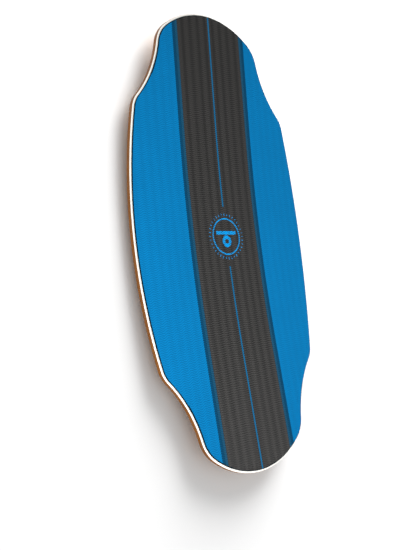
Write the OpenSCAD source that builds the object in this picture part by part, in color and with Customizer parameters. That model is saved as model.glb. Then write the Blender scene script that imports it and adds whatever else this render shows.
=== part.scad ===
// Deck of a balance board that rides on a loose roller: a pressed plywood deck that curves up
// towards both ends, a foam foot pad on top, and a bolted stop bar under each end.
// The board lies flat on its two stop bars. X is the width, +Y the nose and +Z up.
// The origin is on the ground, under the middle of the board.

/* [Deck] */
// Length from nose to tail
deck_l = 759; // [740:1:780]
// Width across the middle
deck_w = 380; // [374:1:386]
// Thickness of one maple veneer; seven are glued together
ply_t = 1.2; // [1.1:0.05:1.5]
// Thickness of the white veneer on top of them
top_t = 0.6; // [0.4:0.1:0.8]
// Radius of the rounded lower edge of the deck
edge_r = 3; // [2.6:0.1:3.4]

/* [Rocker] */
// Radius of the underside along the curved middle
rocker_r = 2850; // [2400:10:3400]
// Angle by which the straight ends rise
end_angle = 3.75; // [3:0.05:4.25]

/* [Outline] */
// Radius of the nose and tail curves
nose_r = 152; // [149:0.5:155]
// Radius of the long side curves
side_r = 1080.5; // [1000:0.5:1200]
// Radius of the corner between the nose and the waist
shoulder_r = 54.5; // [50:0.5:60]
// Radius of the corner between the waist and the side
hip_r = 43.5; // [40:0.5:48]
// Radius of the hollow that forms the waist
waist_r = 194; // [190:0.5:198]
// Distance of the waist's centre from the long centre line
waist_x = 305; // [302:0.5:308]
// Distance of the waist's centre from the middle of the board
waist_y = 351.5; // [348:0.5:355]

/* [Pad] */
// Bare rim between the pad and the edge of the deck
rim = 3.5; // [3:0.5:8]
// Thickness of the adhesive film
film_t = 0.2; // [0.1:0.1:0.4]
// Thickness of the foam base sheet
base_t = 1.3; // [0.8:0.1:1.6]
// Thickness of the foam panels on the base sheet
panel_t = 1.2; // [1:0.1:2.5]
// Distance of the pin stripes' outer edge from the long centre line
stripe_x = 81.5; // [78:0.5:86]
// Width of one pin stripe; two lie side by side
stripe_w = 5.4; // [4:0.2:6]
// Width of the centre line
line_w = 3; // [2:0.5:5]
// Distance from the emblem's middle at which the centre line stops
line_gap = 50; // [45:1:70]

/* [Emblem] */
// Place of the emblem along the board, towards the nose
emblem_y = 0; // [-12:1:12]
// Outer radius of the emblem's ring
emblem_r = 31; // [28:0.5:32]
// Width of the ring
ring_w = 2.4; // [2:0.2:4]
// Number of dial ticks round the ring
tick_count = 36; // [24:12:48]
// Length of a tick
tick_l = 3.6; // [2:0.2:5]

/* [Stop bars] */
// Distance of a stop bar's middle from the middle of the board
stop_y = 300; // [290:1:310]
// Length of a stop bar, across the board
stop_l = 180; // [170:2:200]
// Width of a stop bar, along the board
stop_w = 28; // [24:1:32]
// Height of the deck's underside above the ground at its middle
mid_height = 10; // [8:0.5:12]
// Thickness of the rubber bumper on the stop bar's inner face
bumper_t = 4; // [3:0.5:6]
// Length of the bumper
bumper_l = 156; // [140:2:164]
// Height of the bumper
bumper_h = 12; // [8:0.5:13]

/* [Fasteners] */
// Distance between the two bolts of a stop bar
bolt_gap = 140; // [120:2:146]
// Wood left between the deck and the washer
grip_t = 15.5; // [15:0.5:16]
// Thread diameter of the bolts
bolt_d = 6; // [5:1:6]

/* [Hidden] */
$fn = 72;

plies = 7;
PLY_NAMES = [for (n = [1:plies]) str("deck_ply_", n)];

// Heights above the deck's underside, measured square to it
ply_stack = plies * ply_t;
deck_t = ply_stack + top_t;
film_h = deck_t + film_t;
base_h = film_h + base_t;
top_h = base_h + panel_t;

// Half sizes and the middle of the rocker's arc
half_l = deck_l / 2;
half_w = deck_w / 2;
rocker_z = mid_height + rocker_r;
end_run = half_l * 0.6;

// Largest gap between an arc and the straight steps that draw it
arc_error = 0.1;

// Fasteners: bolt head, washer and tee nut
bolt_l = 25;
bolt_r = bolt_d / 2;
head_r = 5.25;
head_t = 3.3;
hex_af = 4;
hex_depth = 2;
washer_r = 6;
washer_t = 1.6;
recess_r = 6.6;
barrel_r = 3.85;
flange_r = 9.5;
flange_t = 1.1;
barrel_gap = 0.3;
fit_gap = 0.1;
hole_gap = 0.3;

wood_colour = "#a8682f";
blue = "#007dbe";
bright_blue = "#1e96dc";
line_blue = "#146eb4";
navy = "#00466a";
slate_blue = "#1b5578";
charcoal = "#37373a";
rubber_black = "#1c1c1e";
steel = "#c4c8cc";

// ---- Outline -------------------------------------------------------------------------------

nose_c = [0, half_l - nose_r];
side_c = [half_w - side_r, 0];
waist_c = [waist_x, waist_y];

// Point at distance a from p and b from q, to the left of the way from p to q
function meet(p, a, q, b) =
    let (
        way = q - p,
        gap = norm(way),
        along = (gap * gap + a * a - b * b) / (2 * gap),
        across = sqrt(a * a - along * along)
    )
    p + along * way / gap + across * [-way[1], way[0]] / gap;

shoulder_c = meet(nose_c, nose_r - shoulder_r, waist_c, waist_r + shoulder_r);
hip_c = meet(waist_c, waist_r + hip_r, side_c, side_r - hip_r);

// Direction from p to q
function direction(p, q) = atan2(q[1] - p[1], q[0] - p[0]);

// Points along an arc, without its last one
function arc(c, r, from, to) =
    let (
        step = 2 * acos(1 - arc_error / r),
        count = max(1, ceil(abs(to - from) / step))
    )
    [for (i = [0:count - 1])
        let (a = from + (to - from) * i / count)
        c + r * [cos(a), sin(a)]];

function flipped(points) = [for (i = [len(points) - 1:-1:0]) points[i]];

// One quarter of the outline, from the nose to the widest point, drawn in by inset
function quarter(inset) =
    let (
        nose_end = direction(nose_c, shoulder_c),
        shoulder_end = direction(shoulder_c, waist_c),
        hip_start = direction(hip_c, waist_c),
        side_start = direction(side_c, hip_c)
    )
    concat(
        arc(nose_c, nose_r - inset, 90, nose_end),
        arc(shoulder_c, shoulder_r - inset, nose_end, shoulder_end),
        arc(waist_c, waist_r + inset, shoulder_end + 180, hip_start + 180),
        arc(hip_c, hip_r - inset, hip_start, side_start),
        arc(side_c, side_r - inset, side_start, 0)
    );

module outline(inset) {
    up = quarter(inset);
    widest = [half_w - inset, 0];
    right = concat(up, [widest], [for (p = flipped(up)) [p[0], -p[1]]]);
    inner = [for (i = [1:len(right) - 2]) right[i]];
    polygon(concat(right, [for (p = flipped(inner)) [-p[0], p[1]]]));
}

// ---- Rocker --------------------------------------------------------------------------------

// Side view of the surface at height h above the underside: an arc between two straight ends
function rocker_curve(h) =
    let (
        r = rocker_r - h,
        mid = concat(arc([0, rocker_z], r, 270 - end_angle, 270 + end_angle),
            [[r * sin(end_angle), rocker_z - r * cos(end_angle)]]),
        reach = end_run * [cos(end_angle), sin(end_angle)]
    )
    concat([[mid[0][0] - reach[0], mid[0][1] + reach[1]]], mid, [mid[len(mid) - 1] + reach]);

// The space between two heights above the underside
module layer(bottom, top) {
    rotate([90, 0, 90])
        linear_extrude(height = deck_w + 20, center = true)
            polygon(concat(rocker_curve(bottom), flipped(rocker_curve(top))));
}

// A sheet that follows the rocker, cut to the outline of its children
module sheet(bottom, top) {
    intersection() {
        layer(bottom, top);
        linear_extrude(height = mid_height + 80)
            children();
    }
}

// Height of the straight part of the underside above the ground
function underside(y) =
    rocker_z - rocker_r * cos(end_angle) + (abs(y) - rocker_r * sin(end_angle)) * tan(end_angle);

// Frame on the underside at a stop bar's middle, with +Z square to the deck; end is 1 or -1
module at_stop(end) {
    translate([0, end * stop_y, underside(stop_y)])
        rotate([end * end_angle, 0, 0])
            children();
}

module at_bolts(end) {
    at_stop(end)
        for (side = [-1, 1])
            translate([side * bolt_gap / 2, 0, 0])
                children();
}

// ---- Deck ----------------------------------------------------------------------------------

// How far the rounded lower edge draws a veneer in at its mid height h
function edge_inset(h) = h < edge_r ? edge_r - sqrt(edge_r * edge_r - (edge_r - h) * (edge_r - h)) : 0;

module deck_ply(n) {
    bottom = (n - 1) * ply_t;
    top = n * ply_t;
    hole_r = n == plies ? flange_r + hole_gap : barrel_r + hole_gap;
    color(wood_colour)
        difference() {
            sheet(bottom, top)
                outline(edge_inset((bottom + top) / 2));
            for (end = [-1, 1])
                at_bolts(end)
                    translate([0, 0, bottom - 1])
                        cylinder(r = hole_r, h = ply_t + 2);
        }
}

module deck_top_veneer() {
    color("white")
        sheet(ply_stack, deck_t)
            outline(0);
}

// ---- Pad -----------------------------------------------------------------------------------

module pad_adhesive() {
    color("gainsboro")
        sheet(deck_t, film_h)
            outline(rim);
}

module pad_base() {
    color(navy)
        sheet(film_h, base_h)
            outline(rim);
}

// A panel of the pad's top layer: the pad's outline between two distances from the centre line
module pad_strip(from, to) {
    sheet(base_h, top_h)
        intersection() {
            outline(rim);
            translate([from, -half_l])
                square([to - from, deck_l]);
        }
}

module pad_side_left() {
    color(blue)
        pad_strip(-half_w, -stripe_x);
}

module pad_side_right() {
    color(blue)
        pad_strip(stripe_x, half_w);
}

module stripe_outer_left() {
    color(navy)
        pad_strip(-stripe_x, -stripe_x + stripe_w);
}

module stripe_outer_right() {
    color(navy)
        pad_strip(stripe_x - stripe_w, stripe_x);
}

module stripe_inner_left() {
    color(slate_blue)
        pad_strip(-stripe_x + stripe_w, -stripe_x + 2 * stripe_w);
}

module stripe_inner_right() {
    color(slate_blue)
        pad_strip(stripe_x - 2 * stripe_w, stripe_x - stripe_w);
}

// The slot of one centre line, which runs out at the pad's end
module line_slot(end) {
    start = emblem_y + end * line_gap;
    translate([-line_w / 2, min(start, end * half_l)])
        square([line_w, abs(end * half_l - start)]);
}

module centre_line(end) {
    color(line_blue)
        sheet(base_h, top_h)
            intersection() {
                outline(rim);
                line_slot(end);
            }
}

// ---- Emblem --------------------------------------------------------------------------------

// A plank in balance on a hollow roller, in a ring
plank_l = 44;
plank_t = 6;
plank_y = 3;
roller_r = 10;
roller_hole_r = 4;

module hoop(outer_r, inner_r) {
    difference() {
        circle(r = outer_r);
        circle(r = inner_r);
    }
}

module mark_outline() {
    translate([0, emblem_y]) {
        hoop(emblem_r, emblem_r - ring_w);
        translate([-plank_l / 2, plank_y])
            square([plank_l, plank_t]);
        translate([0, plank_y - roller_r - 1])
            hoop(roller_r, roller_hole_r);
    }
}

tick_r = emblem_r + 4;
tick_w = 1.2;

module ticks_outline() {
    translate([0, emblem_y])
        for (i = [0:tick_count - 1])
            rotate(i * 360 / tick_count)
                translate([tick_r, -tick_w / 2])
                    square([tick_l, tick_w]);
}

module emblem_mark() {
    color(bright_blue)
        sheet(base_h, top_h)
            mark_outline();
}

module emblem_ticks() {
    color(bright_blue)
        sheet(base_h, top_h)
            ticks_outline();
}

module pad_centre() {
    inner_x = stripe_x - 2 * stripe_w;
    color(charcoal)
        sheet(base_h, top_h)
            difference() {
                intersection() {
                    outline(rim);
                    translate([-inner_x, -half_l])
                        square([2 * inner_x, deck_l]);
                }
                line_slot(1);
                line_slot(-1);
                mark_outline();
                ticks_outline();
            }
}

// ---- Stop bars -----------------------------------------------------------------------------

stop_corner_r = 8;
bumper_corner_r = 1.5;
bumper_z = 3.5;

// Rectangle with rounded corners, about the origin
module rounded_plate(l, w, r) {
    corners = [[1, 1, 0], [-1, 1, 90], [-1, -1, 180], [1, -1, 270]];
    polygon([for (c = corners)
        let (centre = [c[0] * (l / 2 - r), c[1] * (w / 2 - r)])
        each concat(arc(centre, r, c[2], c[2] + 90), [centre + r * [cos(c[2] + 90), sin(c[2] + 90)]])]);
}

module stop_bar(end) {
    color(wood_colour)
        difference() {
            intersection() {
                translate([0, end * stop_y, 0])
                    linear_extrude(height = 2 * underside(stop_y))
                        rounded_plate(stop_l, stop_w, stop_corner_r);
                at_stop(end)
                    translate([-stop_l, -stop_w, -2 * underside(stop_y)])
                        cube([2 * stop_l, 2 * stop_w, 2 * underside(stop_y)]);
            }
            at_bolts(end) {
                translate([0, 0, -grip_t - 1])
                    cylinder(r = bolt_r + hole_gap, h = grip_t + 2);
                translate([0, 0, -2 * underside(stop_y)])
                    cylinder(r = recess_r, h = 2 * underside(stop_y) - grip_t);
            }
        }
}

module bumper(end) {
    color(rubber_black)
        translate([0, end * (stop_y - (stop_w + bumper_t) / 2), bumper_z])
            linear_extrude(height = bumper_h)
                rounded_plate(bumper_l, bumper_t, bumper_corner_r);
}

// ---- Fasteners -----------------------------------------------------------------------------

module stop_bolts() {
    seat = -grip_t - washer_t;
    color(steel)
        for (end = [-1, 1])
            at_bolts(end)
                difference() {
                    union() {
                        translate([0, 0, seat - head_t])
                            cylinder(r = head_r, h = head_t);
                        translate([0, 0, seat - 0.5])
                            cylinder(r = bolt_r, h = bolt_l + 0.5);
                    }
                    translate([0, 0, seat - head_t - 1])
                        cylinder(r = hex_af / sqrt(3), h = hex_depth + 1, $fn = 6);
                }
}

module stop_washers() {
    color(steel)
        for (end = [-1, 1])
            at_bolts(end)
                translate([0, 0, -grip_t - washer_t])
                    difference() {
                        cylinder(r = washer_r, h = washer_t);
                        translate([0, 0, -1])
                            cylinder(r = bolt_r + hole_gap, h = washer_t + 2);
                    }
}

module tee_nuts() {
    seat = ply_stack - ply_t;
    color(steel)
        for (end = [-1, 1])
            at_bolts(end)
                difference() {
                    union() {
                        translate([0, 0, barrel_gap])
                            cylinder(r = barrel_r, h = seat - barrel_gap + 0.5);
                        translate([0, 0, seat])
                            cylinder(r = flange_r, h = flange_t);
                    }
                    cylinder(r = bolt_r + fit_gap, h = deck_t + 1);
                }
}

for (n = [1:plies])
    deck_ply(n);
deck_top_veneer();
pad_adhesive();
pad_base();
pad_side_left();
pad_side_right();
pad_centre();
stripe_outer_left();
stripe_outer_right();
stripe_inner_left();
stripe_inner_right();
centre_line(1);  // centre_line_nose
centre_line(-1);  // centre_line_tail
emblem_mark();
emblem_ticks();
stop_bar(1);  // stop_bar_nose
stop_bar(-1);  // stop_bar_tail
bumper(1);  // bumper_nose
bumper(-1);  // bumper_tail
stop_bolts();
stop_washers();
tee_nuts();
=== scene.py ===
"""Looks for the balance board deck: a veneered deck with a rounded edge, a ribbed foam pad with a
printed emblem, and stop bars underneath. Everything is in metres, in the CAD model's frame."""

import math

import bmesh
import bpy
import numpy as np
from mathutils import Matrix, Vector


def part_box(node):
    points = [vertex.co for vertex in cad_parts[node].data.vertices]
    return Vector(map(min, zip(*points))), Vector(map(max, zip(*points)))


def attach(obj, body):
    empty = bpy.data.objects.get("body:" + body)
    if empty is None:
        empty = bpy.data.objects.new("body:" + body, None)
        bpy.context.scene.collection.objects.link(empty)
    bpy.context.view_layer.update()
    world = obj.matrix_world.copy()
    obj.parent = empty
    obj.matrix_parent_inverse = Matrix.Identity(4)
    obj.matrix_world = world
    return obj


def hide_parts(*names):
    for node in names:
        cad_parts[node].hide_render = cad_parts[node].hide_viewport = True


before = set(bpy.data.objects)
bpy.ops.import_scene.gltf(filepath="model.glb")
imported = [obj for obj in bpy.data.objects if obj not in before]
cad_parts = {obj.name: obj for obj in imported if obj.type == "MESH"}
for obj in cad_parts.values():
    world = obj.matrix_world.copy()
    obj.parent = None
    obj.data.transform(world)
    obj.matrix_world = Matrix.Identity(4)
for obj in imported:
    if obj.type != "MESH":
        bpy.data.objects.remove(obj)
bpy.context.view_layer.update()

MM = 0.001
# Slack for comparing places, and the distance within which points are merged
TINY = 1e-9
WELD = 0.0001 * MM

# ---- Sizes taken from the frame -------------------------------------------------------------

PLIES = 7
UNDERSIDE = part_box("deck_ply_1")[0].z
HALF_L = max(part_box(f"deck_ply_{n}")[1].y for n in range(1, PLIES + 1))
HALF_W = max(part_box(f"deck_ply_{n}")[1].x for n in range(1, PLIES + 1))
RIM = HALF_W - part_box("pad_base")[1].x
REACH = HALF_L - RIM


def level(node):
    """Height of a sheet's lower face above the deck's underside, at the middle of the board."""
    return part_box(node)[0].z - UNDERSIDE


PLY_STACK = level("deck_top_veneer")
PLY_T = PLY_STACK / PLIES
DECK_T = level("pad_adhesive")
BASE_H = level("pad_base")
PANEL_H = level("pad_centre")
# As in part.scad. A panel's box in the frame holds its rocker too, so it doesn't give the thickness
PANEL_T = 1.2 * MM
TOP_H = PANEL_H + PANEL_T
STRIPE_OUT = -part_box("stripe_outer_left")[0].x
STRIPE_MID = -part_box("stripe_outer_left")[1].x
STRIPE_IN = -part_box("stripe_inner_left")[1].x
LINE_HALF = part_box("centre_line_nose")[1].x
LINE_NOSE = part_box("centre_line_nose")[0].y
LINE_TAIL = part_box("centre_line_tail")[1].y
EMBLEM_Y = sum(c.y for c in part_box("emblem_mark")) / 2
EMBLEM_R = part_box("emblem_mark")[1].x
TICKS_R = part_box("emblem_ticks")[1].x

# ---- Outline and rocker, as in part.scad ----------------------------------------------------

# Arcs of one quarter, from the nose to the widest point
NOSE_R = 152 * MM
SIDE_R = 1080.5 * MM
SHOULDER_R = 54.5 * MM
HIP_R = 43.5 * MM
WAIST_R = 194 * MM
# Radius of the underside, and how steeply the straight ends rise
ROCKER_R = 2850 * MM
END_ANGLE = math.radians(3.75)

NOSE_C = np.array([0.0, HALF_L - NOSE_R])
SIDE_C = np.array([HALF_W - SIDE_R, 0.0])
WAIST_C = np.array([305 * MM, 351.5 * MM])


def meet(p, a, q, b):
    """The point at distance a from p and b from q, to the left of the way from p to q."""
    way = q - p
    gap = np.hypot(*way)
    along = (gap * gap + a * a - b * b) / (2 * gap)
    across = math.sqrt(a * a - along * along)
    return p + along * way / gap + across * np.array([-way[1], way[0]]) / gap


def direction(p, q):
    """Angle of the way from p to q."""
    return math.atan2(q[1] - p[1], q[0] - p[0])


SHOULDER_C = meet(NOSE_C, NOSE_R - SHOULDER_R, WAIST_C, WAIST_R + SHOULDER_R)
HIP_C = meet(WAIST_C, WAIST_R + HIP_R, SIDE_C, SIDE_R - HIP_R)
NOSE_END = direction(NOSE_C, SHOULDER_C)
SHOULDER_END = direction(SHOULDER_C, WAIST_C)
HIP_START = direction(HIP_C, WAIST_C)
SIDE_START = direction(SIDE_C, HIP_C)

# Centre, radius, first and last angle, and 1 where the wood is inside the circle or -1 outside
ARCS = [
    (NOSE_C, NOSE_R, math.pi / 2, NOSE_END, 1),
    (SHOULDER_C, SHOULDER_R, NOSE_END, SHOULDER_END, 1),
    (WAIST_C, WAIST_R, SHOULDER_END + math.pi, HIP_START + math.pi, -1),
    (HIP_C, HIP_R, HIP_START, SIDE_START, 1),
    (SIDE_C, SIDE_R, SIDE_START, 0.0, 1),
]


def quarter(inset, step):
    """Points of the outline from the nose to the widest point, drawn in by inset, about step apart.
    The count of points doesn't depend on inset, so rings of different inset match."""
    points = []
    for centre, radius, start, end, side in ARCS:
        count = max(2, math.ceil(abs(end - start) * radius / step))
        angles = np.linspace(start, end, count, endpoint=False)
        r = radius - side * inset
        points.append(centre + r * np.stack([np.cos(angles), np.sin(angles)], 1))
    points.append([[HALF_W - inset, 0.0]])
    return np.concatenate(points)


def right_side(inset, step):
    """Points of the right half of the outline, from the nose to the tail."""
    q = quarter(inset, step)
    return np.concatenate([q, q[-2::-1] * [1, -1]])


WIDTH_STEP = 0.5 * MM


def half_width(inset, y):
    """Half the width of the outline, drawn in by inset, at each y."""
    q = quarter(inset, WIDTH_STEP)[::-1]
    return np.interp(np.abs(y), q[:, 1], q[:, 0], right=0.0)


# Angles in radians: how far the arcs reach past their ends, so that they leave no gap between them,
# and how far below an arc's first angle a point's angle may lie before a full turn is added
ARC_OVERLAP = 0.02
TURN_MARGIN = 0.3


def edge_distance(x, y):
    """Distance of each point inside the deck from the nearest point of the outline."""
    x, y = np.abs(x), np.abs(y)
    best = np.full(np.shape(x), 1.0)
    for centre, radius, start, end, side in ARCS:
        dx, dy = x - centre[0], y - centre[1]
        low, high = min(start, end), max(start, end)
        turn = np.arctan2(dy, dx)
        turn = np.where(turn < low - TURN_MARGIN, turn + 2 * math.pi, turn)
        away = side * (radius - np.hypot(dx, dy))
        near = (turn > low - ARC_OVERLAP) & (turn < high + ARC_OVERLAP)
        best = np.where(near, np.minimum(best, away), best)
    return best


def rocker(y, h):
    """Height above the ground of the surface h above the deck's underside."""
    r = ROCKER_R - h
    bend = r * math.sin(END_ANGLE)
    y = np.abs(y)
    curved = ROCKER_R + UNDERSIDE - np.sqrt(np.maximum(r * r - y * y, 0))
    straight = ROCKER_R + UNDERSIDE - r * math.cos(END_ANGLE) + (y - bend) * math.tan(END_ANGLE)
    return np.where(y < bend, curved, straight)


# ---- Foam ribs and rounded edges ------------------------------------------------------------

RIB_PITCH = 3.5 * MM
RIB_DEPTH = 0.9 * MM
WAVE_LENGTH = 17 * MM
WAVE_HEIGHT = 1.8 * MM


def rib_drop(x, y):
    """How far the ribbed surface lies below the crests: round ribs with narrow grooves between."""
    wave = WAVE_HEIGHT * np.sin(2 * math.pi * x / WAVE_LENGTH)
    return RIB_DEPTH * (1 - np.abs(np.cos(math.pi * (y - wave) / RIB_PITCH)))


# Rounding of the pad's edge, and the width of the band along it that is painted near-black as shade
EDGE_ROUND = 0.9 * MM
EDGE_SHADE_WIDTH = 1.3 * MM


def rounding(distance, radius):
    """Drop of a rounded edge at this distance from it."""
    short = np.clip(radius - distance, 0, radius)
    return radius - np.sqrt(radius * radius - short * short)


# ---- Mesh helpers ---------------------------------------------------------------------------

CREASE = 40


def new_object(name, verts, faces, materials, choice=None):
    """A closed smooth object. choice gives each face's place in the list of materials."""
    mesh = bpy.data.meshes.new(name)
    mesh.from_pydata([tuple(v) for v in verts], [], [tuple(f) for f in faces])
    for material in materials:
        mesh.materials.append(material)
    if choice is not None:
        mesh.polygons.foreach_set("material_index", choice)
    bm = bmesh.new()
    bm.from_mesh(mesh)
    bmesh.ops.remove_doubles(bm, verts=bm.verts, dist=WELD)
    bmesh.ops.dissolve_degenerate(bm, edges=bm.edges, dist=WELD)
    bmesh.ops.recalc_face_normals(bm, faces=bm.faces)
    bm.to_mesh(mesh)
    bm.free()
    mesh.shade_smooth()
    obj = bpy.data.objects.new(name, mesh)
    bpy.context.scene.collection.objects.link(obj)
    return obj


def sharpen(obj):
    """Marks the edges sharper than CREASE degrees, so that smooth shading stops there."""
    bm = bmesh.new()
    bm.from_mesh(obj.data)
    limit = math.radians(CREASE)
    for edge in bm.edges:
        if len(edge.link_faces) == 2 and edge.calc_face_angle(0) > limit:
            edge.smooth = False
    bm.to_mesh(obj.data)
    bm.free()


def settle(obj, slot, *nodes):
    """Says which body a piece rides on and hides the CAD nodes it stands for. slot is not used."""
    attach(obj, "root")
    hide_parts(*nodes)
    return obj


RING_STEP = 3 * MM


def loop_solid(name, rings, material):
    """A closed sheet with the deck's outline. rings lists (inset, height) from the middle of the
    lower face, out round the edge and back to the middle of the upper face."""
    verts, loops = [], []
    for inset, h in rings:
        right = right_side(inset, RING_STEP)
        z = rocker(right[:, 1], h)
        ring = np.column_stack([right, z])
        left = ring[-2:0:-1] * [-1, 1, 1]
        loops.append(len(verts) + np.arange(len(ring) + len(left)))
        verts.extend(np.concatenate([ring, left]))
    count = len(loops[0])
    rows = len(right_side(0, RING_STEP))
    faces = []
    for low, high in zip(loops, loops[1:]):
        for i in range(count):
            j = (i + 1) % count
            faces.append((low[i], low[j], high[j], high[i]))
    for loop, flip in ((loops[0], True), (loops[-1], False)):
        for i in range(rows - 1):
            cell = [loop[i], loop[i + 1], loop[(count - i - 1) % count], loop[(count - i) % count]]
            cell = list(dict.fromkeys(cell))
            faces.append(tuple(cell[::-1] if flip else cell))
    return new_object(name, verts, faces, [material])


def row_strips(index, keep):
    """One face for each unbroken run of kept cells in a row, facing down."""
    strips = []
    for r, row in enumerate(keep):
        ends = np.flatnonzero(np.diff(np.pad(row.astype(int), 1)))
        for start, stop in ends.reshape(-1, 2):
            strips.append((index[r, start], index[r + 1, start], index[r + 1, stop], index[r, stop]))
    return np.array(strips)


def grid_solid(name, xs, ys, top, bottom, material, keep=None, band=None):
    """A closed sheet over a grid. xs and ys are arrays of rows by columns, top and bottom give z
    there, keep says which cells stay, and band which of them take near-black foam as painted shade."""
    rows, cols = xs.shape
    keep = np.ones((rows - 1, cols - 1), bool) if keep is None else keep
    index = np.arange(rows * cols).reshape(rows, cols)
    upper = np.column_stack([xs.ravel(), ys.ravel(), top.ravel()])
    a, b = index[:-1, :-1][keep], index[:-1, 1:][keep]
    c, d = index[1:, 1:][keep], index[1:, :-1][keep]
    faces = np.column_stack([a, b, c, d])
    # The rim of the kept cells, with each edge's cell on its left
    sides = []
    pad = np.pad(keep, 1)
    for dr, dc, p, q in ((-1, 0, a, b), (0, 1, b, c), (1, 0, c, d), (0, -1, d, a)):
        beyond = pad[1 + dr : rows + dr, 1 + dc : cols + dc][keep]
        sides.append(np.column_stack([p[~beyond], q[~beyond]]))
    sides = np.concatenate(sides)
    offset = rows * cols
    lower = np.column_stack([xs.ravel(), ys.ravel(), bottom.ravel()])
    walls = np.column_stack([sides[:, 1], sides[:, 0], sides[:, 0] + offset, sides[:, 1] + offset])
    underside = row_strips(index, keep) + offset
    verts = np.concatenate([upper, lower])
    choice = np.zeros(len(faces) + len(walls) + len(underside), int)
    # Band cells, and all walls and the underside, take the near-black foam: painted shade
    if band is not None:
        choice[:len(faces)] = band[keep]
        choice[len(faces):] = 1
    faces = np.concatenate([faces, walls, underside])
    used = np.unique(faces)
    renumber = np.zeros(len(verts), int)
    renumber[used] = np.arange(len(used))
    materials = [material] if band is None else [material, foam_base]
    return new_object(name, verts[used], renumber[faces], materials, choice)


# ---- Materials ------------------------------------------------------------------------------


def linear(r, g, b):
    """An 8-bit display colour as linear RGBA."""
    def channel(v):
        v = v / 255
        return v / 12.92 if v <= 0.04045 else ((v + 0.055) / 1.055) ** 2.4
    return (channel(r), channel(g), channel(b), 1.0)


def new_material(name, roughness, specular=0.5, coat=0.0, coat_roughness=0.03, metallic=0.0):
    """A new material, its node tree and its surface shader."""
    material = bpy.data.materials.new(name)
    material.use_nodes = True
    shader = material.node_tree.nodes["Principled BSDF"]
    shader.inputs["Roughness"].default_value = roughness
    shader.inputs["Specular IOR Level"].default_value = specular
    shader.inputs["Coat Weight"].default_value = coat
    shader.inputs["Coat Roughness"].default_value = coat_roughness
    shader.inputs["Metallic"].default_value = metallic
    return material, material.node_tree, shader


def add(tree, kind, **values):
    """A new node, with its inputs or settings set by name."""
    node = tree.nodes.new(kind)
    for key, value in values.items():
        if key in node.inputs:
            node.inputs[key].default_value = value
        else:
            setattr(node, key, value)
    return node


def object_coords(tree, scale=(1, 1, 1)):
    """Places on the object in metres, scaled along each axis."""
    place = tree.nodes.new("ShaderNodeTexCoord")
    mapping = add(tree, "ShaderNodeMapping", Scale=scale)
    tree.links.new(place.outputs["Object"], mapping.inputs["Vector"])
    return mapping.outputs["Vector"]


def calc(tree, operation, *values):
    """The result of one arithmetic step on numbers or other results."""
    node = add(tree, "ShaderNodeMath", operation=operation)
    for socket, value in zip(node.inputs, values):
        if isinstance(value, float):
            socket.default_value = value
        else:
            tree.links.new(value, socket)
    return node.outputs["Value"]


def painted_rib_shade(tree, vector, groove_shade, band):
    """Painted light and shade of the ribs, 1 on average: painted shade in the grooves by groove, and
    painted light and shade in bands along the board, where the waves lean one way or the other, by
    band."""
    split = tree.nodes.new("ShaderNodeSeparateXYZ")
    tree.links.new(vector, split.inputs["Vector"])
    turn = calc(tree, "MULTIPLY", split.outputs["X"], 2 * math.pi / WAVE_LENGTH)
    wave = calc(tree, "MULTIPLY", calc(tree, "SINE", turn), WAVE_HEIGHT)
    along = calc(tree, "SUBTRACT", split.outputs["Y"], wave)
    phase = calc(tree, "MULTIPLY", along, math.pi / RIB_PITCH)
    crest = calc(tree, "ABSOLUTE", calc(tree, "COSINE", phase))
    rows = calc(tree, "MULTIPLY_ADD", crest, groove_shade, 1 - groove_shade * 2 / math.pi)
    shaded = calc(tree, "MULTIPLY_ADD", calc(tree, "COSINE", turn), band, rows)
    return calc(tree, "MAXIMUM", shaded, 0.0)


def noise(tree, vector, scale, detail=4.0, rough=0.55):
    """Cloudy noise from 0 to 1, with about this many blobs to the metre."""
    node = add(tree, "ShaderNodeTexNoise", Scale=scale, Detail=detail, Roughness=rough)
    tree.links.new(vector, node.inputs["Vector"])
    return node.outputs["Fac"]


def blend(tree, first, second, share):
    """A mix of two patterns, with this share of the second."""
    node = add(tree, "ShaderNodeMix", data_type="FLOAT", Factor=share)
    tree.links.new(first, node.inputs["A"])
    tree.links.new(second, node.inputs["B"])
    return node.outputs["Result"]


def ramp(tree, factor, stops):
    """A colour that follows a value. stops lists (value, colour)."""
    node = tree.nodes.new("ShaderNodeValToRGB")
    elements = node.color_ramp.elements
    while len(elements) < len(stops):
        elements.new(0.5)
    for element, (position, colour) in zip(elements, stops):
        element.position = position
        element.color = colour
    tree.links.new(factor, node.inputs["Fac"])
    return node.outputs["Color"]


def bump(tree, shader, height, distance, strength):
    """Fine relief in the shading of the surface."""
    node = add(tree, "ShaderNodeBump", Distance=distance, Strength=strength)
    tree.links.new(height, node.inputs["Height"])
    tree.links.new(node.outputs["Normal"], shader.inputs["Normal"])


def shade(colour, factor):
    """The colour made lighter or darker by a factor."""
    return tuple(c * factor for c in colour[:3]) + (1.0,)


def foam(name, colour, variation=0.06, gloss=0.06, roughness=0.8, groove_shade=0.35, band=0.03):
    """Closed-cell foam: matte, with a fine cell grain, a faint cloudiness, and painted light and shade
    of its ribs in its colour.
    """
    material, tree, shader = new_material(name, roughness=roughness, specular=gloss)
    coords = object_coords(tree)
    cells = noise(tree, coords, 2600, detail=2.0)
    clouds = noise(tree, coords, 14, detail=3.0)
    low, high = shade(colour, 1 - variation), shade(colour, 1 + variation)
    tint = ramp(tree, blend(tree, cells, clouds, 0.35), [(0.35, low), (0.65, high)])
    # The base colour carries painted shade in the rib grooves and painted light and shade in bands
    # along the board
    rib_shaded_tint = add(tree, "ShaderNodeVectorMath", operation="SCALE")
    tree.links.new(tint, rib_shaded_tint.inputs["Vector"])
    tree.links.new(painted_rib_shade(tree, coords, groove_shade, band), rib_shaded_tint.inputs["Scale"])
    tree.links.new(rib_shaded_tint.outputs["Vector"], shader.inputs["Base Color"])
    bump(tree, shader, cells, 0.05 * MM, 0.6)
    return material


GRAIN_STRETCH = 0.05


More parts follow.
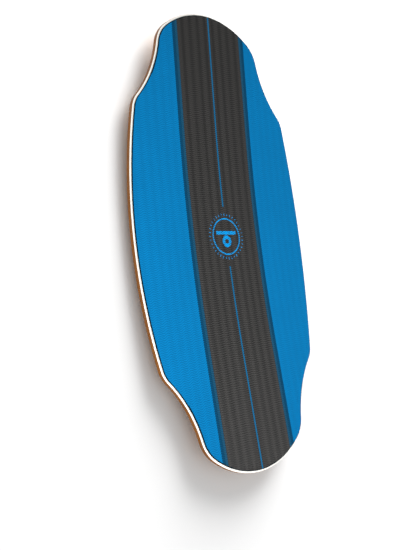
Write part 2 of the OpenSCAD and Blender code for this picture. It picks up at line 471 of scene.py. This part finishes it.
def wood(name, dark, light, along_y=True):
    """Maple veneer: long fine grain with broad colour bands, under clear lacquer."""
    material, tree, shader = new_material(name, roughness=0.45, specular=0.25, coat=0.1,
                                          coat_roughness=0.25)
    coords = object_coords(tree, (1, GRAIN_STRETCH, 1) if along_y else (GRAIN_STRETCH, 1, 1))
    fibres = noise(tree, coords, 900, detail=6.0, rough=0.65)
    streaks = noise(tree, coords, 60, detail=3.0)
    tint = ramp(tree, blend(tree, fibres, streaks, 0.5), [(0.32, dark), (0.68, light)])
    tree.links.new(tint, shader.inputs["Base Color"])
    bump(tree, shader, fibres, 0.04 * MM, 0.5)
    return material


def lacquer(name, colour):
    """Gloss white lacquer over veneer: smooth, with a slight orange peel."""
    material, tree, shader = new_material(name, roughness=0.3, coat=0.5, coat_roughness=0.12)
    coords = object_coords(tree)
    peel = noise(tree, coords, 350, detail=2.0)
    tint = ramp(tree, peel, [(0.3, shade(colour, 0.98)), (0.7, colour)])
    tree.links.new(tint, shader.inputs["Base Color"])
    bump(tree, shader, peel, 0.02 * MM, 0.3)
    return material


def rubber(name, colour):
    """Matte rubber or dried glue, with a fine grain."""
    material, tree, shader = new_material(name, roughness=0.75, specular=0.3)
    coords = object_coords(tree)
    grain = noise(tree, coords, 1400, detail=3.0)
    tint = ramp(tree, grain, [(0.3, shade(colour, 0.8)), (0.7, shade(colour, 1.25))])
    tree.links.new(tint, shader.inputs["Base Color"])
    bump(tree, shader, grain, 0.05 * MM, 0.5)
    return material


def zinc(name):
    """Zinc-plated steel with a faint spangle."""
    material, tree, shader = new_material(name, roughness=0.28, metallic=1.0)
    coords = object_coords(tree)
    spangle = noise(tree, coords, 700, detail=3.0)
    low, high = linear(176, 180, 184), linear(214, 216, 218)
    tint = ramp(tree, spangle, [(0.35, low), (0.65, high)])
    tree.links.new(tint, shader.inputs["Base Color"])
    bump(tree, shader, spangle, 0.01 * MM, 0.4)
    return material


BLUE = linear(0, 99, 150)
CHARCOAL = linear(28, 27, 26)
NAVY = linear(3, 57, 86)
SLATE = linear(18, 66, 92)
LINE_BLUE = linear(13, 88, 128)
BRIGHT = linear(0, 133, 199)

foam_blue = foam("foam_blue", BLUE)
# Charcoal carries the strongest painted rib shade and painted bands of light and shade
foam_charcoal = foam("foam_charcoal", CHARCOAL, variation=0.12, gloss=0.28, roughness=0.5,
                     groove_shade=1.15, band=0.45)
foam_navy = foam("foam_navy", NAVY)
foam_slate = foam("foam_slate_blue", SLATE)
foam_line = foam("foam_line_blue", LINE_BLUE)
foam_bright = foam("foam_bright_blue", BRIGHT)
# Near-black foam for the pad's base layer, the panels' walls and the edge band: painted shade
foam_base = foam("foam_base", linear(3, 20, 28))
white = lacquer("white_lacquer", linear(232, 231, 225))
maple_long = wood("maple_long", linear(104, 57, 9), linear(146, 90, 20))
maple_cross = wood("maple_cross", linear(84, 45, 6), linear(122, 72, 14), along_y=False)
maple_face = wood("maple_face", linear(168, 112, 62), linear(214, 164, 108))
stop_wood = wood("stop_wood", linear(150, 98, 52), linear(204, 152, 98), along_y=False)
black_rubber = rubber("bumper_rubber", linear(30, 30, 32))
steel = zinc("zinc_steel")
glue = rubber("adhesive", linear(225, 225, 220))

# ---- Deck -----------------------------------------------------------------------------------

LOWER_ROUND = 3 * MM
UPPER_ROUND = 2 * MM
EDGE_RINGS = 9
# Distance from a layer's edge to the ring that keeps the shading of its flat faces flat
SUPPORT = 1 * MM


def edge_inset(h):
    """How far the rounded edge of the deck lies inside its outline at height h."""
    return float(rounding(h, LOWER_ROUND) + rounding(DECK_T - h, UPPER_ROUND))


def veneer(name, low, high, material, slot, node):
    """One layer of the deck, with its share of the rounded edge."""
    edge = [(edge_inset(h), h) for h in np.linspace(low, high, EDGE_RINGS)]
    rings = [(edge[0][0] + SUPPORT, low), *edge, (edge[-1][0] + SUPPORT, high)]
    obj = loop_solid(name, rings, material)
    sharpen(obj)
    settle(obj, slot, node)


def maple(n):
    """Look of ply n: a pale face below, then layers whose grain runs across and along by turns."""
    if n == 1:
        return maple_face
    return maple_cross if n % 2 == 0 else maple_long


for n in range(1, PLIES + 1):
    veneer(f"veneer_{n}", (n - 1) * PLY_T, n * PLY_T, maple(n), "maple_veneer", f"deck_ply_{n}")
veneer("top_veneer", PLY_STACK, DECK_T, white, "white_top_veneer", "deck_top_veneer")

# ---- Pad ------------------------------------------------------------------------------------


def flat_sheet(name, low, high, material, slot, node):
    """A layer with the pad's outline."""
    rings = [(RIM + SUPPORT, low), (RIM, low), (RIM, high), (RIM + SUPPORT, high)]
    obj = loop_solid(name, rings, material)
    sharpen(obj)
    return settle(obj, slot, node)


flat_sheet("adhesive_film", DECK_T, BASE_H, glue, "adhesive", "pad_adhesive")
# The base layer's near-black colour paints shade on the pad's edge wall
base_sheet = flat_sheet("foam_base_sheet", BASE_H, PANEL_H, foam_base, "foam_base", "pad_base")

ROW_STEP = 0.5 * MM
COLUMN = 3.1 * MM
STRIPE_COLUMN = 2 * MM
LINE_COLUMN = 1 * MM
TIP_STEP = 0.2 * MM
SEAM_ROUND = 0.35 * MM
# Distances from an edge at which a panel has a row or column of points, to shape its rounding
EDGE_STEPS = np.array([0.0, 0.12, 0.3, 0.6, 1.0]) * MM


def spaced(low, high, step, low_steps=EDGE_STEPS, high_steps=EDGE_STEPS):
    """Values from low to high, about step apart, with the close steps at both ends."""
    count = max(2, round((high - low) / step))
    middle = np.linspace(low + low_steps[-1], high - high_steps[-1], count)
    return np.concatenate([low + low_steps[:-1], middle, (high - high_steps[:-1])[::-1]])


def middles(grid):
    """The value in the middle of each cell."""
    return (grid[1:, 1:] + grid[1:, :-1] + grid[:-1, 1:] + grid[:-1, :-1]) / 4


def edge_shade_cells(xs, ys):
    """The cells along the pad's edge that are painted near-black as shade."""
    return edge_distance(middles(xs), middles(ys)) - RIM < EDGE_SHADE_WIDTH


def surface(x, y, seams=()):
    """z of the ribbed top of the pad. seams lists the x at which a panel ends against another."""
    drop = rib_drop(x, y)
    drop = drop + rounding(edge_distance(x, y) - RIM, EDGE_ROUND)
    for seam in seams:
        drop = drop + rounding(np.abs(x - seam), SEAM_ROUND)
    return rocker(y, TOP_H - drop)


def panel_tip(near):
    """The y at which a panel ends, if its edge nearest the centre line is this far from it."""
    outline = quarter(RIM, TIP_STEP)
    return float(np.interp(near, outline[:, 0], outline[:, 1]))


def strip(name, x_low, x_high, step, material, slot, node, seams, y_low=None, y_high=None):
    """A panel between two distances from the centre line, ended by the pad's outline."""
    tip = panel_tip(min(abs(x_low), abs(x_high)))
    y = spaced(-tip if y_low is None else y_low, tip if y_high is None else y_high, ROW_STEP)
    width = half_width(RIM, y)[:, None]
    x = spaced(x_low, x_high, step)[None, :]
    low = np.clip(x_low, -width, width)
    high = np.clip(x_high, -width, width)
    xs = low + (x - x_low) / (x_high - x_low) * (high - low)
    # Where there is room, the close columns keep their distance from both edges
    from_low, from_high = x - x_low, x_high - x
    fixed = np.where(from_low <= EDGE_STEPS[-1] + TINY, low + from_low, xs)
    fixed = np.where(from_high <= EDGE_STEPS[-1] + TINY, high - from_high, fixed)
    xs = np.where(high - low > 4 * EDGE_STEPS[-1], fixed, xs)
    ys = np.broadcast_to(y[:, None], xs.shape)
    top = surface(xs, ys, seams)
    obj = grid_solid(name, xs, ys, top, rocker(ys, PANEL_H), material, band=edge_shade_cells(xs, ys))
    settle(obj, slot, node)


def mirrored(sign, inner, outer):
    """The x range between two distances from the centre line, on the side that sign says."""
    return (inner, outer) if sign > 0 else (-outer, -inner)


for side, sign in (("left", -1), ("right", 1)):
    strip(f"side_panel_{side}", *mirrored(sign, STRIPE_OUT, HALF_W - RIM), COLUMN, foam_blue,
          "foam_blue", f"pad_side_{side}", [sign * STRIPE_OUT])
    strip(f"outer_stripe_{side}", *mirrored(sign, STRIPE_MID, STRIPE_OUT), STRIPE_COLUMN, foam_navy,
          "foam_navy", f"stripe_outer_{side}", [sign * STRIPE_OUT, sign * STRIPE_MID])
    strip(f"inner_stripe_{side}", *mirrored(sign, STRIPE_IN, STRIPE_MID), STRIPE_COLUMN, foam_slate,
          "foam_slate_blue", f"stripe_inner_{side}", [sign * STRIPE_MID, sign * STRIPE_IN])


def centre_panel():
    """The charcoal panel, with a slot for each centre line."""
    y = np.concatenate([
        spaced(-REACH, LINE_TAIL, ROW_STEP)[:-1],
        spaced(LINE_TAIL, LINE_NOSE, ROW_STEP, EDGE_STEPS[:1], EDGE_STEPS[:1]),
        spaced(LINE_NOSE, REACH, ROW_STEP)[1:],
    ])
    width = half_width(RIM, y)[:, None]
    left = spaced(-STRIPE_IN, -LINE_HALF, COLUMN)
    x = np.concatenate([left, [0.0], -left[::-1]])[None, :]
    # Past the corners the outer columns gather on the pad's outline
    limit = np.minimum(STRIPE_IN, width)
    share = (np.abs(x) - LINE_HALF) / (STRIPE_IN - LINE_HALF)
    squeezed = LINE_HALF + share * np.maximum(limit - LINE_HALF, 0)
    xs = np.where(np.abs(x) > LINE_HALF + TINY, np.sign(x) * squeezed, x)
    xs = np.clip(xs, -width, width)
    ys = np.broadcast_to(y[:, None], xs.shape)
    slot_rows = (y >= LINE_NOSE - TINY) | (y <= LINE_TAIL + TINY)
    slot_drop = rounding(np.abs(np.abs(xs) - LINE_HALF), SEAM_ROUND)
    top = surface(xs, ys, [-STRIPE_IN, STRIPE_IN]) - np.where(slot_rows[:, None], slot_drop, 0)
    mid_y = (y[1:] + y[:-1]) / 2
    mid_x = (x[0, 1:] + x[0, :-1]) / 2
    slot_cells = (mid_y > LINE_NOSE) | (mid_y < LINE_TAIL)
    keep = ~(slot_cells[:, None] & (np.abs(mid_x) < LINE_HALF)[None, :])
    obj = grid_solid("centre_panel", xs, ys, top, rocker(ys, PANEL_H), foam_charcoal, keep,
                     edge_shade_cells(xs, ys))
    settle(obj, "foam_charcoal", "pad_centre")


centre_panel()

for end, y_low, y_high in (("nose", LINE_NOSE, REACH), ("tail", -REACH, LINE_TAIL)):
    strip(f"centre_stripe_{end}", -LINE_HALF, LINE_HALF, LINE_COLUMN, foam_line, "foam_line_blue",
          f"centre_line_{end}", [-LINE_HALF, LINE_HALF], y_low, y_high)

# ---- Emblem ---------------------------------------------------------------------------------

# Height of the print above the ribs, and thickness of the film it is on
INK = 0.06 * MM
FILM = 0.24 * MM
RING_W = 2.4 * MM
PLANK_L = 44 * MM
PLANK_T = 6 * MM
PLANK_Y = 3 * MM
ROLLER_R = 10 * MM
ROLLER_HOLE_R = 4 * MM
ROLLER_GAP = 1 * MM
TICKS = 36
TICK_L = 3.6 * MM
TICK_W = 1.2 * MM
PRINT_STEP = 0.6 * MM


def hoop_patch(x, y, outer_r, inner_r):
    """Points of a ring, as rows by columns."""
    turns = np.linspace(0, 2 * math.pi, round(2 * math.pi * outer_r / PRINT_STEP) + 1)
    radii = np.linspace(inner_r, outer_r, max(2, round((outer_r - inner_r) / PRINT_STEP)) + 1)
    return x + np.outer(np.cos(turns), radii), y + np.outer(np.sin(turns), radii)


def bar_patch(x, y, length, width, turn=0.0):
    """Points of a bar that starts at its middle left edge, as rows by columns."""
    u = np.linspace(0, length, max(2, round(length / PRINT_STEP)) + 1)[:, None]
    v = np.linspace(-width / 2, width / 2, max(2, round(width / PRINT_STEP)) + 1)[None, :]
    c, s = math.cos(turn), math.sin(turn)
    return x + u * c - v * s, y + u * s + v * c


def print_film(name, patches, node):
    """A thin printed layer that follows the ribs."""
    parts = []
    for number, (xs, ys) in enumerate(patches):
        top = surface(xs, ys) + INK
        part = grid_solid(f"{name}_{number}", xs, ys, top, top - FILM, foam_bright)
        parts.append(part)
    target = parts[0]
    if len(parts) > 1:
        with bpy.context.temp_override(active_object=target, selected_editable_objects=parts,
                                       object=target, selected_objects=parts):
            bpy.ops.object.join()
    target.name = name
    settle(target, "foam_bright_blue", node)


print_film("emblem_print", [
    hoop_patch(0, EMBLEM_Y, EMBLEM_R, EMBLEM_R - RING_W),
    hoop_patch(0, EMBLEM_Y + PLANK_Y - ROLLER_R - ROLLER_GAP, ROLLER_R, ROLLER_HOLE_R),
    bar_patch(-PLANK_L / 2, EMBLEM_Y + PLANK_Y + PLANK_T / 2, PLANK_L, PLANK_T),
], "emblem_mark")


def tick_patch(turn):
    """One tick of the dial round the ring, at this angle."""
    start = TICKS_R - TICK_L
    return bar_patch(start * math.cos(turn), EMBLEM_Y + start * math.sin(turn), TICK_L, TICK_W, turn)


print_film("tick_print", [tick_patch(2 * math.pi * i / TICKS) for i in range(TICKS)], "emblem_ticks")

# ---- Underside ------------------------------------------------------------------------------

# Edges flatter than the first angle are dissolved, and edges sharper than the second are rounded
FLAT_ANGLE = math.radians(2)
CORNER_ANGLE = math.radians(35)


def softened(name, node, width, segments, material, slot):
    """A copy of a CAD node with its corners rounded."""
    bm = bmesh.new()
    bm.from_mesh(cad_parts[node].data)
    bmesh.ops.remove_doubles(bm, verts=bm.verts, dist=10 * WELD)
    bmesh.ops.dissolve_limit(bm, angle_limit=FLAT_ANGLE, verts=bm.verts, edges=bm.edges)
    bmesh.ops.recalc_face_normals(bm, faces=bm.faces)
    mesh = bpy.data.meshes.new(name)
    bm.to_mesh(mesh)
    bm.free()
    mesh.materials.clear()
    mesh.materials.append(material)
    obj = bpy.data.objects.new(name, mesh)
    bpy.context.scene.collection.objects.link(obj)
    bevel = obj.modifiers.new("corners", "BEVEL")
    bevel.width = width
    bevel.segments = segments
    bevel.limit_method = "ANGLE"
    bevel.angle_limit = CORNER_ANGLE
    bevel.harden_normals = True
    mesh.shade_smooth()
    bpy.context.view_layer.update()
    evaluated = obj.evaluated_get(bpy.context.evaluated_depsgraph_get())
    shaped = bpy.data.meshes.new_from_object(evaluated)
    obj.modifiers.clear()
    obj.data = shaped
    settle(obj, slot, node)


for end in ("nose", "tail"):
    softened(f"stop_{end}", f"stop_bar_{end}", 1.5 * MM, 3, stop_wood, "stop_wood")
    softened(f"bumper_strip_{end}", f"bumper_{end}", 0.8 * MM, 3, black_rubber, "bumper_rubber")

for name, node, width in (("bolts", "stop_bolts", 0.4 * MM), ("washers", "stop_washers", 0.2 * MM),
                          ("tee_nut_set", "tee_nuts", 0.15 * MM)):
    softened(name, node, width, 2, steel, "zinc_steel")

# ---- Floor, light and camera ----------------------------------------------------------------

FLOOR_SIZE = 40.0


def make_floor():
    """A square of pale paper, wide enough to reach the horizon."""
    mesh = bpy.data.meshes.new("floor")
    s = FLOOR_SIZE / 2
    mesh.from_pydata([(-s, -s, 0), (s, -s, 0), (s, s, 0), (-s, s, 0)], [], [(0, 1, 2, 3)])
    obj = bpy.data.objects.new("floor", mesh)
    material, tree, shader = new_material("floor_paper", roughness=0.9, specular=0.2)
    coords = object_coords(tree)
    dark, light = linear(230, 230, 230), linear(233, 233, 233)
    tint = ramp(tree, noise(tree, coords, 3), [(0.3, dark), (0.7, light)])
    tree.links.new(tint, shader.inputs["Base Color"])
    mesh.materials.append(material)
    bpy.context.scene.collection.objects.link(obj)
    return obj


def area_light(name, place, target, size, power):
    """A round soft box."""
    data = bpy.data.lights.new(name, "AREA")
    data.shape = "DISK"
    data.size = size
    data.energy = power
    return place_light(name, data, place, target)


def sun_light(name, place, spread, strength):
    """Light from the side of a place, with its spread in degrees."""
    data = bpy.data.lights.new(name, "SUN")
    data.angle = math.radians(spread)
    data.energy = strength
    return place_light(name, data, place, (0, 0, 0))


def place_light(name, data, place, target):
    """Hangs a light at a place and turns it to its target."""
    obj = bpy.data.objects.new(name, data)
    obj.location = place
    obj.rotation_euler = (Vector(target) - Vector(place)).to_track_quat("-Z", "Y").to_euler()
    bpy.context.scene.collection.objects.link(obj)
    return obj


def tie(light, floor, state):
    """Keeps a light off the floor, or on the floor alone."""
    group = bpy.data.collections.new(f"{light.name}_reach")
    group.objects.link(floor)
    light.light_linking.receiver_collection = group
    group.collection_objects[0].light_linking.link_state = state


def make_world(middle, slope):
    """A soft white surround that is brighter towards the tail than towards the nose."""
    world = bpy.data.worlds.new("studio")
    world.use_nodes = True
    tree = world.node_tree
    place = tree.nodes.new("ShaderNodeTexCoord")
    split = tree.nodes.new("ShaderNodeSeparateXYZ")
    low, high = -1, 0.6
    span = add(tree, "ShaderNodeMapRange")
    span.inputs["From Min"].default_value = low
    span.inputs["From Max"].default_value = high
    span.inputs["To Min"].default_value = middle - low * slope
    span.inputs["To Max"].default_value = middle - high * slope
    tree.links.new(place.outputs["Generated"], split.inputs["Vector"])
    tree.links.new(split.outputs["Y"], span.inputs["Value"])
    tree.links.new(span.outputs["Result"], tree.nodes["Background"].inputs["Strength"])
    tree.nodes["Background"].inputs["Color"].default_value = (1, 1, 1, 1)
    bpy.context.scene.world = world


# Place of the camera, what it looks at, and which way is up in the picture
CAMERA_AT = Vector((-0.8164, -0.1488, 0.8499))
CAMERA_AIM = Vector((-0.0502, -0.0147, 0.0200))
PICTURE_UP = Vector((0.0063, 0.9862, 0.1652))
LENS = 46.24
FRAMING_SHIFT = -0.0536


def make_camera():
    """The photograph's viewpoint, seen from the board's left."""
    data = bpy.data.cameras.new("camera")
    data.lens = LENS
    data.sensor_width = 36
    data.shift_y = FRAMING_SHIFT
    data.clip_start = 0.05
    data.clip_end = 100
    obj = bpy.data.objects.new("camera", data)
    back = (CAMERA_AT - CAMERA_AIM).normalized()
    right = PICTURE_UP.cross(back).normalized()
    up = back.cross(right)
    turn = Matrix((right, up, back)).transposed().to_4x4()
    obj.matrix_world = Matrix.Translation(CAMERA_AT) @ turn
    bpy.context.scene.collection.objects.link(obj)
    bpy.context.scene.camera = obj


floor = make_floor()
make_world(middle=0.7, slope=0.5)
key = sun_light("key", (1.0, 1.1, 0.7), 30, 1.9)
key.visible_glossy = False
tie(key, floor, "EXCLUDE")
# Two lights on the floor alone make it white, with a shadow that widens towards the tail
tie(sun_light("daylight", (0.6, 1.3, 0.65), 45, 2.6), floor, "INCLUDE")
tie(area_light("shade", (0.85, 1.5, 0.75), (0, -0.1, 0), 1.5, 45), floor, "INCLUDE")
tie(area_light("fill", (-0.6, -0.3, 0.5), (-0.1, -0.05, 0), 0.4, 4.5), floor, "EXCLUDE")
tie(area_light("sheen", (0.75, -0.6, 1.5), (0, -0.2, 0), 0.7, 13), floor, "EXCLUDE")
make_camera()
bpy.context.scene.view_settings.view_transform = "Standard"
